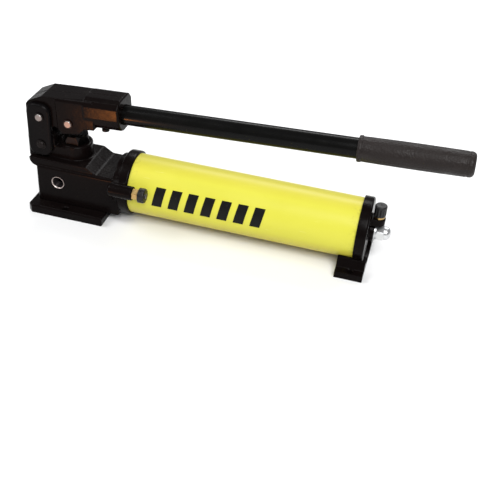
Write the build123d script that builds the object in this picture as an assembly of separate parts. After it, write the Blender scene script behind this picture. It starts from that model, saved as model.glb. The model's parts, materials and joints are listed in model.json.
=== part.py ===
from build123d import *
import os
from math import cos, radians, sin, sqrt

# Hydraulic hand pump, millimetres, +Z up, +X towards the grip.
# Origin: centre of the rectangle of four base mounting holes, on the surface the pump stands on.

# ---- driving dimensions -------------------------------------------------------------------
MOUNT_X = 190.0            # base mounting holes, half spacing along X
MOUNT_Y = 43.0             # base mounting holes, half spacing along Y
MOUNT_HOLE_R = 3.5         # clearance for an M6 screw
FOOT_HALF_W = 50.0

FRONT_FOOT_X0 = -241.0
FRONT_FOOT_X1 = -137.0
FRONT_FOOT_H = 12.0

HEAD_X0 = -232.0           # front face of the lower block
HEAD_X1 = -119.0           # where the round reservoir flange begins
HEAD_HALF_W = 34.0
HEAD_TOP = 64.0
SHOULDER_TOP = 72.5
SHOULDER_HALF_W = 31.0
SHOULDER_X0 = -242.5       # overhang above the lower block
RAMP_X0 = -164.0           # the shoulder slopes down to the block from here
RAMP_X1 = -150.0
NOSE_X0 = -246.5           # front of the lug between the links
NOSE_TOP = 107.5
FOOT_CLIP = 6.0

TANK_Z = 46.0              # axis of the reservoir tube
TANK_R = 39.0
TANK_WALL = 3.0
FLANGE_R = 42.0
FLANGE_X1 = -105.0         # front end of the reservoir tube
CAP_X0 = 189.0             # rear end of the reservoir tube
CAP_X1 = 202.0             # rear face of the end cap's rim
SPIGOT = 10.0

REAR_FOOT_X0 = 171.0
REAR_FOOT_X1 = 206.5
REAR_FOOT_H = 9.0

PIVOT_X = -225.2           # both link pins
LOWER_PIN_Z = 92.0
UPPER_PIN_Z = 130.4
PIN_R = 4.75
LINK_GAP_Y = 21.2          # inner face of each link plate
LINK_T = 6.0
LINK_FRONT = 18.0          # from the pins' centres to each edge of a link
LINK_REAR = 13.5
LINK_END = 17.0
LINK_CORNER = 12.0
RUNNING_FIT = 0.05

PLUNGER_X = -188.8
PLUNGER_PIN_Z = 125.6
PLUNGER_R = 6.35
PLUNGER_BOTTOM = 36.0
EYE_R = 11.5
EYE_HALF_W = 11.5
SLOT_SHIFT_X = 0.88        # the pin drifts this far each way about the slot's middle
SLOT_SHIFT_Z = 0.2
SLOT_PLAY = 0.35

HANDLE_TILT = 2.83         # degrees, rising to the rear with the handle down
HANDLE_AXIS_Z = 138.35     # height of the handle tube's axis above the plunger
TUBE_R = 12.7
TUBE_WALL = 2.5
BEAM_HALF_W = 22.0
BEAM_TOP = 21.5
BEAM_BOTTOM = -25.5
BEAM_NOSE_R = 20.5
SOCKET_U0 = 22.0
SOCKET_U1 = 68.5
SOCKET_BOTTOM = -19.0
SOCKET_TOP = 24.0
GRIP_U0 = 361.5
GRIP_U1 = 497.5
GRIP_R = 15.7

GLAND_AF = 30.0
BOSS_TOP = 92.0            # round boss around the plunger
BOSS_R = 21.0
PORT_X = -202.5
PORT_Z = 43.4
PORT_R = 7.4
PORT_RIM = 1.2             # wall of the port's steel bush
PORT_LEN = 16.0
PORT_HOLE_R = 2.2          # drilling at the bottom of the port
RELEASE_Y = -48.0          # release valve, along X in a boss on the near side
RELEASE_Z = 60.0
RELEASE_X0 = -121.0        # its needle seat
RELEASE_X1 = -93.0         # rear face of its boss
RELEASE_BOSS_R = 9.0
FILLER_X = 211.5
FILLER_Y = -4.0

PACKING_Z0 = 74.0
PACKING_Z1 = 84.0
PACKING_R = 10.0
CHECK_BALL_R = 4.0
CHECK_LIFT = 0.8           # travel of each check ball
VALVE_BORE_R = 5.2
OUTLET_Z = 35.0
OUTLET_SEAT_X = -204.0
OUTLET_SEAT_T = 3.6
OUTLET_BALL_X = OUTLET_SEAT_X - 7.0
OUTLET_PLUG_X1 = -223.0
INTAKE_STOP_Z = 30.0       # ceiling that limits the intake ball
INTAKE_BALL_Z = INTAKE_STOP_Z - CHECK_LIFT - CHECK_BALL_R
SUCTION_Z = 17.5
SUCTION_R = 4.0
SUCTION_PASSAGE_R = 2.2
OUTLET_PASSAGE_R = 2.0
RELEASE_PASSAGE_R = 1.6    # relief and release passages
RELIEF_X = -160.0
RELIEF_BORE_R = 5.0
RELEASE_STEM_R = 3.0
RELEASE_THREAD_R = 5.5
KNOB_X0 = -84.6
KNOB_X1 = -76.2
KNOB_R = 9.5

TIE_ROD_R = 6.0
TIE_ROD_X0 = -117.0
NUT_SEAT_X = 208.5         # machined pad under the tie rod's washer
TIE_ROD_X1 = 222.0
SEAL_W = 4.0
SEAL_R_IN = 33.0
SEAL_FRONT_X = FLANGE_X1 + 3.0
SEAL_REAR_X = CAP_X0 - 3.0 - SEAL_W
FILLER_NECK_R = 5.0
FILLER_BORE_R = 2.6
FILLER_STUD_R = 4.5        # threaded top of the filler neck
FILLER_SEAT_Z = 70.0       # top of the boss on the end cap
SCREW_R = 3.0              # foot screws, their clearance and their head pockets
SCREW_CLEARANCE_R = 3.3
SCREW_POCKET_R = 5.6
FRONT_SCREW_SPOTS = [(x, y) for x in (-222.0, -152.0) for y in (-23.0, 23.0)]
REAR_SCREW_SPOTS = [(196.0, y) for y in (-24.0, 24.0)]

TUBE_U0 = 34.0             # stations along the handle's own axis
TUBE_U1 = 491.0
SET_SCREW_U = 40.0
PIN_END_Y = LINK_GAP_Y + LINK_T + 2.6


# ---- shape helpers ------------------------------------------------------------------------
def block(x0, x1, y0, y1, z0, z1):
    centre = Pos((x0 + x1) / 2, (y0 + y1) / 2, (z0 + z1) / 2)
    return centre * Box(x1 - x0, y1 - y0, z1 - z0)


def cyl_x(x0, x1, y, z, r):
    return Pos((x0 + x1) / 2, y, z) * Rot(0, 90, 0) * Cylinder(r, x1 - x0)


def cyl_y(y0, y1, x, z, r):
    return Pos(x, (y0 + y1) / 2, z) * Rot(90, 0, 0) * Cylinder(r, y1 - y0)


def cyl_z(z0, z1, x, y, r):
    return Pos(x, y, (z0 + z1) / 2) * Cylinder(r, z1 - z0)


def cone_y(y0, y1, x, z, r0, r1):
    """Cone along Y with radius r0 at y0 and r1 at y1."""
    return Pos(x, (y0 + y1) / 2, z) * Rot(-90, 0, 0) * Cone(r0, r1, y1 - y0)


def cone_z(z0, z1, x, y, r0, r1):
    return Pos(x, y, (z0 + z1) / 2) * Cone(r0, r1, z1 - z0)


def side_profile(points, half_w):
    """Outline in the XZ plane, thickened equally to both sides of Y = 0."""
    outline = Plane.XZ * make_face(Polyline(*points, close=True))
    return extrude(outline, half_w, both=True)


def rounded_bar(x0, x1, half_w, z0, z1, corner):
    """Bar along X with rounded long edges."""
    section = RectangleRounded(2 * half_w, z1 - z0, corner)
    bar = extrude(section, x1 - x0)
    return Pos(x0, 0, (z0 + z1) / 2) * Rot(0, 90, 0) * Rot(0, 0, 90) * bar


def hex_z(z0, z1, x, y, across_flats):
    hexagon = extrude(RegularPolygon(across_flats / 2, 6, major_radius=False), z1 - z0)
    return Pos(x, y, z0) * hexagon


def hex_x(x0, x1, y, z, across_flats):
    return Pos(x0, y, z) * Rot(0, 90, 0) * hex_z(0, x1 - x0, 0, 0, across_flats)


def hex_y(y0, y1, x, z, across_flats):
    return Pos(x, y0, z) * Rot(-90, 0, 0) * hex_z(0, y1 - y0, 0, 0, across_flats)


def ring_x(x0, x1, z, r_in, r_out):
    return cyl_x(x0, x1, 0, z, r_out) - cyl_x(x0 - 1, x1 + 1, 0, z, r_in)


def coil_spring(length, coil_r, wire_r, turns):
    """Open helical spring standing on Z = 0."""
    path = Helix(pitch=length / turns, height=length, radius=coil_r)
    section = Plane(origin=path @ 0, z_dir=path % 0) * Circle(wire_r)
    return sweep(section, path=path)


def clipped_plate(x0, x1, half_w, height, clip):
    """Foot plate whose outer pair of corners (at x0) is cut off."""
    points = [
        (x0 + clip, -half_w), (x1, -half_w), (x1, half_w),
        (x0 + clip, half_w), (x0, half_w - clip), (x0, clip - half_w),
    ]
    return extrude(make_face(Polyline(*points, close=True)), height)


# ---- pump head ----------------------------------------------------------------------------
def head_casting():
    lower = rounded_bar(HEAD_X0, HEAD_X1, HEAD_HALF_W, FRONT_FOOT_H - 6, HEAD_TOP, 4)
    lower = lower - block(HEAD_X0 - 1, HEAD_X1 + 1, -50, 50, 0, FRONT_FOOT_H)
    lower = fillet(lower.edges().filter_by(Axis.Z).group_by(Axis.X)[0], 3)

    shoulder = block(
        SHOULDER_X0, RAMP_X1, -SHOULDER_HALF_W, SHOULDER_HALF_W, HEAD_TOP - 3.5, SHOULDER_TOP
    )
    shoulder = fillet(shoulder.edges().filter_by(Axis.Y).group_by(Axis.X)[0].sort_by(Axis.Z)[0], 10.5)
    ramp_points = [
        (RAMP_X1, HEAD_TOP - 0.5), (RAMP_X1, SHOULDER_TOP + 1),
        (RAMP_X0, SHOULDER_TOP + 1), (RAMP_X0, SHOULDER_TOP),
    ]
    shoulder = shoulder - side_profile(ramp_points, SHOULDER_HALF_W + 1)

    boss = cyl_z(HEAD_TOP - 4, BOSS_TOP, PLUNGER_X, 0, BOSS_R)
    boss = chamfer(boss.edges().group_by(Axis.Z)[-1], 1.5)
    lug = block(NOSE_X0, PIVOT_X + 15.5, 0.5 - LINK_GAP_Y, LINK_GAP_Y - 0.5, HEAD_TOP - 2, NOSE_TOP)
    cross_edges = lug.edges().filter_by(Axis.Y)
    lug = fillet(cross_edges.group_by(Axis.X)[-1].sort_by(Axis.Z)[-1], 15)
    cross_edges = lug.edges().filter_by(Axis.Y)
    lug = fillet(cross_edges.group_by(Axis.X)[0], 9)
    lug = lug + block(PIVOT_X, PLUNGER_X, 0.5 - LINK_GAP_Y, LINK_GAP_Y - 0.5, HEAD_TOP, BOSS_TOP - 3)

    flange = cyl_x(HEAD_X1, FLANGE_X1, 0, TANK_Z, FLANGE_R)
    flange = chamfer(flange.edges().filter_by(GeomType.CIRCLE), 1.2)
    spigot = cyl_x(FLANGE_X1 - 1, FLANGE_X1 + SPIGOT, 0, TANK_Z, TANK_R - TANK_WALL - 0.02)
    neck = cyl_x(HEAD_X1 - 8, HEAD_X1 + 1, 0, TANK_Z, 36)
    neck = neck - block(HEAD_X1 - 20, HEAD_X1 + 2, -50, 50, 0, FRONT_FOOT_H)

    valve_boss = cyl_x(RELEASE_X0 - 5, RELEASE_X1, RELEASE_Y, RELEASE_Z, RELEASE_BOSS_R)
    valve_boss = fillet(valve_boss.edges().filter_by(GeomType.CIRCLE).group_by(Axis.X)[0], 4)
    web = block(RELEASE_X0 - 2, FLANGE_X1 - 2, RELEASE_Y, -20, RELEASE_Z - 7, RELEASE_Z + 7)
    return lower + shoulder + boss + lug + flange + spigot + neck + valve_boss + web


def drill_head(body):
    """Plunger bore, valve pockets, passages and threaded holes."""
    body = body - cyl_z(INTAKE_STOP_Z + 2, BOSS_TOP + 1, PLUNGER_X, 0, PLUNGER_R + 0.03)
    body = body - cyl_z(PACKING_Z0, BOSS_TOP + 1, PLUNGER_X, 0, PACKING_R)
    body = body - cyl_y(-40, 40, PIVOT_X, LOWER_PIN_Z, PIN_R)

    # outlet port with its pressed bush, and the passage that feeds it
    body = body - cyl_y(-HEAD_HALF_W - 1, PORT_LEN - HEAD_HALF_W, PORT_X, PORT_Z, PORT_R + PORT_RIM)
    body = body - cyl_y(-HEAD_HALF_W, -5, PORT_X, PORT_Z, PORT_HOLE_R)
    body = body - cyl_z(OUTLET_Z, PORT_Z, PORT_X - 11, -6, OUTLET_PASSAGE_R)
    body = body - cyl_x(PORT_X - 11, PORT_X, -6, PORT_Z, OUTLET_PASSAGE_R)

    # outlet check valve, bored from the front face
    body = body - cyl_x(HEAD_X0 - 1, OUTLET_SEAT_X, 0, OUTLET_Z, VALVE_BORE_R)
    body = body - cyl_x(OUTLET_SEAT_X - 1, PLUNGER_X, 0, OUTLET_Z, OUTLET_PASSAGE_R)

    # intake check valve, bored from below under the plunger
    body = body - cyl_z(FRONT_FOOT_H - 1, INTAKE_STOP_Z, PLUNGER_X, 0, VALVE_BORE_R)
    body = body - cyl_z(INTAKE_STOP_Z - 1, PLUNGER_BOTTOM, PLUNGER_X, 0, 2.5)
    body = body - cyl_x(PLUNGER_X, FLANGE_X1 + SPIGOT + 1, 0, SUCTION_Z, SUCTION_PASSAGE_R)
    body = body - cyl_x(FLANGE_X1 - 4, FLANGE_X1 + SPIGOT + 1, 0, SUCTION_Z, SUCTION_R)

    # relief valve on the far side
    body = body - cyl_y(12, HEAD_HALF_W + 1, RELIEF_X, OUTLET_Z, RELIEF_BORE_R)
    body = body - cyl_y(8, 13, RELIEF_X, OUTLET_Z, RELEASE_PASSAGE_R)

    # release valve: needle bore, gland thread, pressure passage and return passage to the tank
    feed_x = RELEASE_X0 - 2.5
    feed_y = -14.0
    return_x = RELEASE_X0 + 8.0
    return_y = -25.0
    body = body - cyl_x(RELEASE_X0, RELEASE_X1 + 1, RELEASE_Y, RELEASE_Z, RELEASE_STEM_R + 0.4)
    body = body - cyl_x(RELEASE_X1 - 11, RELEASE_X1 + 1, RELEASE_Y, RELEASE_Z, RELEASE_THREAD_R)
    body = body - cyl_x(feed_x, RELEASE_X0 + 1, RELEASE_Y, RELEASE_Z, RELEASE_PASSAGE_R)
    body = body - cyl_y(RELEASE_Y, feed_y, feed_x, RELEASE_Z, RELEASE_PASSAGE_R)
    body = body - cyl_z(PORT_Z, RELEASE_Z, feed_x, feed_y, RELEASE_PASSAGE_R)
    body = body - cyl_x(PORT_X, feed_x, feed_y, PORT_Z, RELEASE_PASSAGE_R)
    body = body - cyl_y(RELEASE_Y, return_y, return_x, RELEASE_Z, RELEASE_PASSAGE_R)
    body = body - cyl_x(return_x, FLANGE_X1 + SPIGOT + 1, return_y, RELEASE_Z, RELEASE_PASSAGE_R)
    body = body - cyl_x(TIE_ROD_X0, FLANGE_X1 + SPIGOT + 1, 0, TANK_Z, TIE_ROD_R)

    # groove for the tube seal, and the foot screws
    body = body - ring_x(SEAL_FRONT_X, SEAL_FRONT_X + SEAL_W, TANK_Z, SEAL_R_IN, TANK_R)
    for x, y in FRONT_SCREW_SPOTS:
        body = body - cyl_z(FRONT_FOOT_H - 1, FRONT_FOOT_H + 12, x, y, SCREW_R)
    return body


def countersunk_hole(x, y, top):
    hole = cyl_z(-1, top + 1, x, y, MOUNT_HOLE_R)
    return hole + cone_z(top - 1.0, top + 0.2, x, y, MOUNT_HOLE_R, MOUNT_HOLE_R + 1.2)


def front_foot():
    plate = clipped_plate(FRONT_FOOT_X0, FRONT_FOOT_X1, FOOT_HALF_W, FRONT_FOOT_H, FOOT_CLIP)
    plate = chamfer(plate.faces().sort_by(Axis.Z)[-1].edges(), 2)
    for y in (-MOUNT_Y, MOUNT_Y):
        plate = plate - countersunk_hole(-MOUNT_X, y, FRONT_FOOT_H)
    for x, y in FRONT_SCREW_SPOTS:
        plate = plate - cyl_z(-1, FRONT_FOOT_H + 1, x, y, SCREW_CLEARANCE_R)
        plate = plate - cyl_z(-1, 7, x, y, SCREW_POCKET_R)
    return plate


def cap_screw_up(x, y, head_z, tip_z):
    """Socket head screw driven upwards: the head's recess faces down."""
    screw = cyl_z(head_z, head_z + 6, x, y, 5.0) + cyl_z(head_z + 5, tip_z, x, y, SCREW_R)
    return screw - hex_z(head_z - 0.1, head_z + 3, x, y, 5.0)


# ---- reservoir ----------------------------------------------------------------------------
def reservoir_tube():
    return ring_x(FLANGE_X1, CAP_X0, TANK_Z, TANK_R - TANK_WALL, TANK_R)


def reservoir_mark():
    """A plain row of slanted bars on each side of the tube."""
    bars = None
    bar_w = 13.0
    pitch = 21.5
    lean = 5.0
    first_x = -72.0
    low, high = TANK_Z - 4.0, TANK_Z + 21.0
    for index in range(7):
        x = first_x + pitch * index
        points = [(x, low), (x + bar_w, low), (x + bar_w + lean, high), (x + lean, high)]
        bar = side_profile(points, TANK_R + 2)
        bars = bar if bars is None else bars + bar
    skin = ring_x(FLANGE_X1, CAP_X0, TANK_Z, TANK_R, TANK_R + 0.25)
    return skin & bars


def rear_cap():
    disc = cyl_x(CAP_X0, CAP_X1, 0, TANK_Z, FLANGE_R)
    disc = fillet(disc.edges().filter_by(GeomType.CIRCLE).group_by(Axis.X)[-1], 3)
    spigot = cyl_x(CAP_X0 - SPIGOT, CAP_X0 + 1, 0, TANK_Z, TANK_R - TANK_WALL - 0.02)
    pad = cyl_x(CAP_X1 - 1, NUT_SEAT_X, 0, TANK_Z, 13.5)
    pad = chamfer(pad.edges().filter_by(GeomType.CIRCLE).group_by(Axis.X)[-1], 0.8)
    boss_r = 8.0
    boss_z0 = FILLER_SEAT_Z - 9.5
    boss = cyl_z(boss_z0, FILLER_SEAT_Z, FILLER_X, FILLER_Y, boss_r)
    web = block(CAP_X1 - 3, FILLER_X, FILLER_Y - boss_r, FILLER_Y + boss_r, boss_z0, FILLER_SEAT_Z)
    body = disc + spigot + pad + boss + web
    body = body - cyl_x(CAP_X0 - SPIGOT - 1, NUT_SEAT_X + 1, 0, TANK_Z, TIE_ROD_R + 0.3)
    body = body - cyl_x(CAP_X0 - SPIGOT - 1, FILLER_X, FILLER_Y, FILLER_SEAT_Z - 5, 2.5)
    body = body - cyl_z(FILLER_SEAT_Z - 7, FILLER_SEAT_Z + 1, FILLER_X, FILLER_Y, FILLER_NECK_R)
    body = body - ring_x(SEAL_REAR_X, SEAL_REAR_X + SEAL_W, TANK_Z, SEAL_R_IN, TANK_R)
    for x, y in REAR_SCREW_SPOTS:
        body = body - cyl_z(0, 23, x, y, SCREW_R)
    return body


def filler_neck():
    """Brass threaded spout pressed into the cap's boss."""
    collar_top = FILLER_SEAT_Z + 2.5
    neck = cyl_z(FILLER_SEAT_Z - 7, FILLER_SEAT_Z, FILLER_X, FILLER_Y, FILLER_NECK_R)
    neck = neck + cyl_z(FILLER_SEAT_Z, collar_top, FILLER_X, FILLER_Y, 6.5)
    neck = neck + cyl_z(collar_top, FILLER_SEAT_Z + 10, FILLER_X, FILLER_Y, FILLER_STUD_R)
    return neck - cyl_z(FILLER_SEAT_Z - 8, FILLER_SEAT_Z + 11, FILLER_X, FILLER_Y, FILLER_BORE_R)


def filler_cap():
    """Screw-on vent cap with finger flutes, hollow underneath."""
    z0 = FILLER_SEAT_Z + 4.0
    z1 = FILLER_SEAT_Z + 18.0
    body = cyl_z(z0, z1, FILLER_X, FILLER_Y, 7.6)
    body = fillet(body.edges().group_by(Axis.Z)[-1], 2.0)
    for index in range(12):
        angle = radians(30 * index)
        body = body - cyl_z(z0 - 2, z1 - 3, FILLER_X + 8.6 * cos(angle), FILLER_Y + 8.6 * sin(angle), 1.7)
    body = body - cyl_z(z0 - 1, z1 - 7, FILLER_X, FILLER_Y, FILLER_STUD_R + RUNNING_FIT)
    return body - cyl_z(z1 - 8, z1 + 1, FILLER_X, FILLER_Y, 0.8)


def filler_gasket():
    ring = cyl_z(FILLER_SEAT_Z + 2.6, FILLER_SEAT_Z + 4, FILLER_X, FILLER_Y, 6.4)
    return ring - cyl_z(FILLER_SEAT_Z + 2, FILLER_SEAT_Z + 5, FILLER_X, FILLER_Y, FILLER_STUD_R + RUNNING_FIT)


def rear_foot():
    saddle_points = [
        (-FOOT_HALF_W, 0), (FOOT_HALF_W, 0), (FOOT_HALF_W, REAR_FOOT_H), (39, REAR_FOOT_H),
        (33, 21), (-33, 21), (-39, REAR_FOOT_H), (-FOOT_HALF_W, REAR_FOOT_H),
    ]
    section = Plane.YZ * make_face(Polyline(*saddle_points, close=True))
    foot = Pos(REAR_FOOT_X0, 0, 0) * extrude(section, REAR_FOOT_X1 - REAR_FOOT_X0)
    foot = foot - cyl_x(REAR_FOOT_X0 - 1, CAP_X0 + 0.1, 0, TANK_Z, TANK_R + 0.05)
    foot = foot - cyl_x(CAP_X0 - 0.2, REAR_FOOT_X1 + 1, 0, TANK_Z, FLANGE_R + 0.02)
    for y in (-MOUNT_Y, MOUNT_Y):
        foot = foot - countersunk_hole(MOUNT_X, y, REAR_FOOT_H)
    for x, y in REAR_SCREW_SPOTS:
        foot = foot - cyl_z(-1, 30, x, y, SCREW_CLEARANCE_R)
        foot = foot - cyl_z(-1, 6.7, x, y, SCREW_POCKET_R)
    return foot


def tie_rod():
    return cyl_x(TIE_ROD_X0, TIE_ROD_X1, 0, TANK_Z, TIE_ROD_R)


def tie_rod_washer():
    return ring_x(NUT_SEAT_X, NUT_SEAT_X + 2, TANK_Z, TIE_ROD_R + 0.2, 11.8)


def tie_rod_nut():
    """Domed cap nut."""
    x0 = NUT_SEAT_X + 2
    corners = Cylinder(10.9, 20)
    corners = chamfer(corners.edges().filter_by(GeomType.CIRCLE), 1.4)
    flats = hex_z(0, 9.5, 0, 0, 19.0) & (Pos(0, 0, 10) * corners)
    dome = Cylinder(8.8, 18.5)
    dome = fillet(dome.edges().filter_by(GeomType.CIRCLE).group_by(Axis.Z)[-1], 7.5)
    body = flats + Pos(0, 0, 9.25) * dome
    body = body - cyl_z(-1, TIE_ROD_X1 - x0 + 0.3, 0, 0, TIE_ROD_R)
    return Pos(x0, 0, TANK_Z) * Rot(0, 90, 0) * body


def suction_tube():
    """Pick-up tube along the tank's floor."""
    x0, x1 = FLANGE_X1 - 4, 150.0
    return cyl_x(x0, x1, 0, SUCTION_Z, SUCTION_R) - cyl_x(x0 - 1, x1 + 1, 0, SUCTION_Z, 2.8)


def suction_strainer():
    """Slotted brass cage over the end of the pick-up tube."""
    x0, x1 = 138.0, 172.0
    cage = cyl_x(x0, x1, 0, SUCTION_Z, 6.8) - cyl_x(x0 - 1, x1 - 2, 0, SUCTION_Z, SUCTION_R)
    for index in range(5):
        x = 152.5 + 3.4 * index
        cage = cage - block(x, x + 1.5, -4.4, 4.4, SUCTION_Z + 1, SUCTION_Z + 9)
    return cage


# ---- plunger, seals and valves --------------------------------------------------------------
def plunger():
    """Ground rod with an eye whose slot lets the pin drift as the lever swings."""
    rod = cyl_z(PLUNGER_BOTTOM, PLUNGER_PIN_Z - 4, PLUNGER_X, 0, PLUNGER_R)
    rod = chamfer(rod.edges().group_by(Axis.Z)[0], 0.6)
    eye = cyl_y(-EYE_HALF_W, EYE_HALF_W, PLUNGER_X, PLUNGER_PIN_Z, EYE_R)
    eye = chamfer(eye.edges().filter_by(GeomType.CIRCLE), 1.0)
    slot_x = PLUNGER_X + SLOT_SHIFT_X
    slot_z = PLUNGER_PIN_Z + SLOT_SHIFT_Z
    hole_r = PIN_R + SLOT_SHIFT_Z + SLOT_PLAY
    slot = None
    for shift in (-SLOT_SHIFT_X, SLOT_SHIFT_X):
        end = cyl_y(-20, 20, slot_x + shift, slot_z, hole_r)
        slot = end if slot is None else slot + end
    slot = slot + block(
        slot_x - SLOT_SHIFT_X, slot_x + SLOT_SHIFT_X, -20, 20, slot_z - hole_r, slot_z + hole_r
    )
    return rod + eye - slot


def plunger_packing():
    ring = cyl_z(PACKING_Z0, PACKING_Z1, PLUNGER_X, 0, PACKING_R)
    return ring - cyl_z(PACKING_Z0 - 1, PACKING_Z1 + 1, PLUNGER_X, 0, PLUNGER_R + RUNNING_FIT)


def plunger_gland_nut():
    flats = hex_z(BOSS_TOP, BOSS_TOP + 11, PLUNGER_X, 0, GLAND_AF)
    flats = flats & cone_z(BOSS_TOP, BOSS_TOP + 11.5, PLUNGER_X, 0, 18.2, 15.6)
    body = flats + cyl_z(PACKING_Z1, BOSS_TOP + 1, PLUNGER_X, 0, PACKING_R)
    body = body - cyl_z(PACKING_Z1 - 1, BOSS_TOP + 12, PLUNGER_X, 0, PLUNGER_R + RUNNING_FIT)
    return body - cyl_z(BOSS_TOP + 8, BOSS_TOP + 12, PLUNGER_X, 0, 9.0)


def plunger_wiper():
    lip = cyl_z(BOSS_TOP + 8, BOSS_TOP + 11.2, PLUNGER_X, 0, 9.0)
    lip = lip + cone_z(BOSS_TOP + 11, BOSS_TOP + 13, PLUNGER_X, 0, 9.0, 7.4)
    return lip - cyl_z(BOSS_TOP + 7, BOSS_TOP + 14, PLUNGER_X, 0, PLUNGER_R + RUNNING_FIT)


def outlet_port_bush():
    y0 = -HEAD_HALF_W - 0.5
    y1 = PORT_LEN - HEAD_HALF_W - 0.5
    bush = cyl_y(y0, y1, PORT_X, PORT_Z, PORT_R + PORT_RIM)
    bush = bush - cyl_y(y0 - 1, y1 + 1, PORT_X, PORT_Z, PORT_R)
    flare = 0.7
    return bush - cone_y(y0 - 0.01, y0 + flare, PORT_X, PORT_Z, PORT_R + flare, PORT_R)


def outlet_valve_seat():
    """Hardened ring; the ball closes on the edge of its hole."""
    x0 = OUTLET_SEAT_X - OUTLET_SEAT_T
    return ring_x(x0, OUTLET_SEAT_X, OUTLET_Z, 2.2, VALVE_BORE_R)


def check_ball(x, z):
    return Pos(x, 0, z) * Sphere(CHECK_BALL_R)


def outlet_valve_spring():
    length = OUTLET_BALL_X - CHECK_BALL_R - OUTLET_PLUG_X1 - 0.6
    return Pos(OUTLET_PLUG_X1 + 0.5, 0, OUTLET_Z) * Rot(0, 90, 0) * coil_spring(length, 2.6, 0.45, 5)


def outlet_valve_plug():
    plug = cyl_x(HEAD_X0 - 1.5, OUTLET_PLUG_X1, 0, OUTLET_Z, VALVE_BORE_R)
    plug = plug + cyl_x(HEAD_X0 - 2.5, HEAD_X0, 0, OUTLET_Z, 8.0)
    return plug - hex_x(HEAD_X0 - 3, HEAD_X0 + 2, 0, OUTLET_Z, 6.0)


def intake_valve_seat():
    """Plug with the intake seat, screwed in from below; a cross hole feeds it."""
    hole_r = 2.0
    top = INTAKE_BALL_Z - sqrt(CHECK_BALL_R**2 - hole_r**2) - 0.03
    seat = cyl_z(FRONT_FOOT_H, top, PLUNGER_X, 0, VALVE_BORE_R)
    seat = seat - cyl_z(SUCTION_Z - 1.5, top + 1, PLUNGER_X, 0, hole_r)
    return seat - cyl_x(PLUNGER_X, PLUNGER_X + 8, 0, SUCTION_Z, 1.4)


def relief_valve_ball():
    return Pos(RELIEF_X, 15.0, OUTLET_Z) * Sphere(3.0)


def relief_valve_spring():
    return Pos(RELIEF_X, 18.2, OUTLET_Z) * Rot(-90, 0, 0) * coil_spring(8.0, 3.2, 0.7, 4)


def relief_valve_screw():
    screw = cyl_y(27.0, HEAD_HALF_W + 0.5, RELIEF_X, OUTLET_Z, RELIEF_BORE_R)
    return screw - hex_y(HEAD_HALF_W - 3, HEAD_HALF_W + 1, RELIEF_X, OUTLET_Z, 5.0)


def release_valve_gland():
    thread = cyl_x(RELEASE_X1 - 8, RELEASE_X1 + 0.5, RELEASE_Y, RELEASE_Z, RELEASE_THREAD_R)
    gland = thread + hex_x(RELEASE_X1, RELEASE_X1 + 7.5, RELEASE_Y, RELEASE_Z, 13)
    bore_r = RELEASE_STEM_R + RUNNING_FIT
    return gland - cyl_x(RELEASE_X1 - 9, RELEASE_X1 + 9, RELEASE_Y, RELEASE_Z, bore_r)


def release_valve_seal():
    ring = cyl_x(RELEASE_X1 - 11, RELEASE_X1 - 8, RELEASE_Y, RELEASE_Z, RELEASE_THREAD_R)
    return ring - cyl_x(RELEASE_X1 - 12, RELEASE_X1 - 7, RELEASE_Y, RELEASE_Z, RELEASE_STEM_R + RUNNING_FIT)


def release_valve_stem():
    """Needle whose plain end shows through the knob."""
    stem = cyl_x(RELEASE_X0 + 2.5, KNOB_X1 + 1.5, RELEASE_Y, RELEASE_Z, RELEASE_STEM_R)
    stem = chamfer(stem.edges().filter_by(GeomType.CIRCLE).group_by(Axis.X)[-1], 0.6)
    needle = Pos(RELEASE_X0 + 1.3, RELEASE_Y, RELEASE_Z) * Rot(0, 90, 0) * Cone(0.6, RELEASE_STEM_R, 2.4)
    return stem + needle - release_knob_pin()


def release_valve_knob():
    """Fluted knob pinned across the stem."""
    knob = cyl_x(KNOB_X0, KNOB_X1, RELEASE_Y, RELEASE_Z, KNOB_R)
    knob = fillet(knob.edges().filter_by(GeomType.CIRCLE).group_by(Axis.X)[-1], 2.0)
    for index in range(8):
        angle = radians(45 * index + 22.5)
        y = RELEASE_Y + (KNOB_R + 1.4) * cos(angle)
        z = RELEASE_Z + (KNOB_R + 1.4) * sin(angle)
        knob = knob - cyl_x(KNOB_X0 + 3.5, KNOB_X1 + 1, y, z, 2.4)
    knob = knob - cyl_x(KNOB_X0 - 1, KNOB_X1 + 1, RELEASE_Y, RELEASE_Z, RELEASE_STEM_R)
    return knob - release_knob_pin()


def release_knob_pin():
    return cyl_z(RELEASE_Z - KNOB_R + 0.6, RELEASE_Z + KNOB_R - 0.6, KNOB_X0 + 2.0, RELEASE_Y, 1.0)


# ---- links and pins -------------------------------------------------------------------------
def link_plate(side):
    """Rounded plate on one side of the head; side is -1 (near) or +1 (far)."""
    height = UPPER_PIN_Z - LOWER_PIN_Z + 2 * LINK_END
    outline = Plane.XZ * RectangleRounded(LINK_FRONT + LINK_REAR, height, LINK_CORNER)
    plate = extrude(outline, LINK_T / 2, both=True)
    outer = plate.faces().sort_by(Axis.Y)[0 if side < 0 else -1]
    plate = chamfer(outer.edges(), 1.8)
    middle_x = PIVOT_X + (LINK_REAR - LINK_FRONT) / 2
    middle_z = (UPPER_PIN_Z + LOWER_PIN_Z) / 2
    plate = Pos(middle_x, side * (LINK_GAP_Y + LINK_T / 2), middle_z) * plate
    for z in (LOWER_PIN_Z, UPPER_PIN_Z):
        plate = plate - cyl_y(-40, 40, PIVOT_X, z, PIN_R + RUNNING_FIT)
    return plate


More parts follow.
